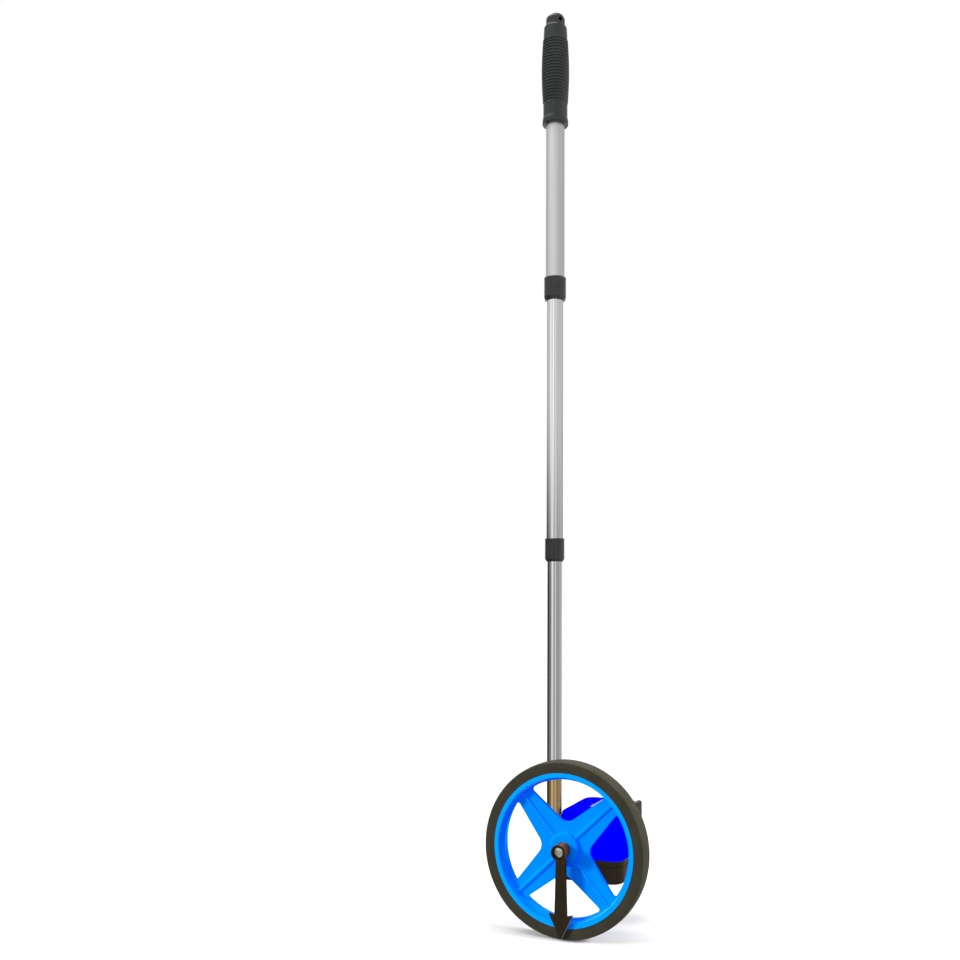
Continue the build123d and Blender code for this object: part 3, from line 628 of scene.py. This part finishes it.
# Area lights: name, place, aim, size in metres and power in watts
AREA_LIGHTS = [
    ("key", (-1.75, -1.45, 0.95), (0, 0, 0.15), (0.4, 0.4), 34.0),
    ("side", (1.7, 0.08, 0.9), (0, 0, 0.1), (0.3, 0.5), 42.0),
]
SUN_STRENGTH = 1.75
SUN_SPREAD = math.radians(50)
SUN_TURN = (math.radians(5), math.radians(-16), 0)


def make_lights():
    for settings in AREA_LIGHTS:
        make_light(*settings)
    sun = bpy.data.lights.new("sky", "SUN")
    sun.energy = SUN_STRENGTH
    sun.angle = SUN_SPREAD
    holder = bpy.data.objects.new("sky", sun)
    bpy.context.scene.collection.objects.link(holder)
    holder.rotation_euler = SUN_TURN


# The studio's walls: brightness round the object as (azimuth in degrees from +X, brightness)
LOW_WALL = [
    (-180, 0.01), (-166, 0.03), (-155, 0.20), (-140, 0.13), (-126, 0.18), (-112, 0.62), (-98, 0.85),
    (-84, 0.42), (-66, 0.34), (-56, 0.72), (-48, 0.72), (-36, 0.26), (-10, 0.34), (30, 0.42), (70, 0.38),
    (82, 0.5), (90, 1.15), (142, 1.15), (158, 0.02), (180, 0.01),
]
HIGH_WALL = [
    (-180, 0.40), (-164, 0.68), (-147, 0.55), (-131, 0.95), (-100, 0.70), (-86, 1.15), (-73, 0.52),
    (-59, 0.80), (-40, 0.56), (-10, 0.54), (40, 0.52), (70, 0.48), (82, 0.55), (90, 1.15), (142, 1.15),
    (160, 0.42),
    (180, 0.40),
]
CEILING = 0.42
SOFT_SHARE = 0.5


def wall_ramp(nodes, links, azimuth, stops):
    """A ring of soft panels, by azimuth."""
    ramp = nodes.new("ShaderNodeValToRGB")
    elements = ramp.color_ramp.elements
    while len(elements) < len(stops):
        elements.new(0.5)
    for element, (angle, value) in zip(elements, stops):
        element.position = angle / 360 + 0.5
        element.color = (value, value, value, 1.0)
    links.new(azimuth, ramp.inputs["Fac"])
    return ramp.outputs["Color"]


def mixed(nodes, links, factor, first, second):
    """Goes from one colour to another with a factor; the second may be a plain grey."""
    mix = nodes.new("ShaderNodeMix")
    mix.data_type = "RGBA"
    links.new(factor, mix.inputs["Factor"])
    links.new(first, mix.inputs["A"])
    if isinstance(second, float):
        mix.inputs["B"].default_value = (second, second, second, 1.0)
    else:
        links.new(second, mix.inputs["B"])
    return mix.outputs["Result"]


def risen(nodes, links, rise, low, high):
    """Goes from 0 to 1 as a direction rises between two limits."""
    fade = nodes.new("ShaderNodeMapRange")
    fade.interpolation_type = "SMOOTHSTEP"
    fade.inputs["From Min"].default_value = low
    fade.inputs["From Max"].default_value = high
    links.new(rise, fade.inputs["Value"])
    return fade.outputs["Result"]


def make_world():
    """A white backdrop, soft panels for the metal to show, and a dimmer share for soft light."""
    world = bpy.data.worlds.new("studio")
    world.use_nodes = True
    nodes, links = world.node_tree.nodes, world.node_tree.links
    coordinates = nodes.new("ShaderNodeTexCoord")
    azimuth = nodes.new("ShaderNodeTexGradient")
    azimuth.gradient_type = "RADIAL"
    split = nodes.new("ShaderNodeSeparateXYZ")
    links.new(coordinates.outputs["Generated"], azimuth.inputs["Vector"])
    links.new(coordinates.outputs["Generated"], split.inputs["Vector"])
    low = wall_ramp(nodes, links, azimuth.outputs["Fac"], LOW_WALL)
    high = wall_ramp(nodes, links, azimuth.outputs["Fac"], HIGH_WALL)
    walls = mixed(nodes, links, risen(nodes, links, split.outputs["Z"], 0.0, 0.2), low, high)
    room = mixed(nodes, links, risen(nodes, links, split.outputs["Z"], 0.62, 0.8), walls, CEILING)
    path = nodes.new("ShaderNodeLightPath")
    soft = nodes.new("ShaderNodeMix")
    soft.data_type = "RGBA"
    soft.blend_type = "MULTIPLY"
    links.new(path.outputs["Is Diffuse Ray"], soft.inputs["Factor"])
    links.new(room, soft.inputs["A"])
    soft.inputs["B"].default_value = (SOFT_SHARE, SOFT_SHARE, SOFT_SHARE, 1.0)
    backdrop = mixed(nodes, links, path.outputs["Is Camera Ray"], soft.outputs["Result"], 1.0)
    links.new(backdrop, nodes["Background"].inputs["Color"])
    nodes["Background"].inputs["Strength"].default_value = 1.0
    bpy.context.scene.world = world


def make_camera():
    data = bpy.data.cameras.new("camera")
    data.lens = CAMERA_LENS
    data.sensor_width = CAMERA_SENSOR
    data.shift_x, data.shift_y = CAMERA_SHIFT
    data.clip_end = 100.0
    camera = bpy.data.objects.new("camera", data)
    bpy.context.scene.collection.objects.link(camera)
    camera.location = AXLE + CAMERA_FROM_AXLE
    level = math.cos(CAMERA_TILT)
    forward = Vector((-math.sin(CAMERA_TURN) * level, math.cos(CAMERA_TURN) * level, math.sin(CAMERA_TILT)))
    camera.rotation_euler = forward.to_track_quat("-Z", "Y").to_euler()
    bpy.context.scene.camera = camera


FIGURE_WHITE = figure_paint("figure_white", (0.85, 0.85, 0.82))
FIGURE_RED = figure_paint("figure_red", (0.75, 0.04, 0.03))

bpy.context.scene.view_settings.view_transform = "Standard"
make_camera()
make_world()
make_lights()
make_floor()
make_tyre()
OUTLINES = [figure_outline(str(figure)) for figure in range(10)]
for drum in range(1, 6):
    make_drum_figures(drum, OUTLINES, "drum_plastic")
finish_cad_nodes()
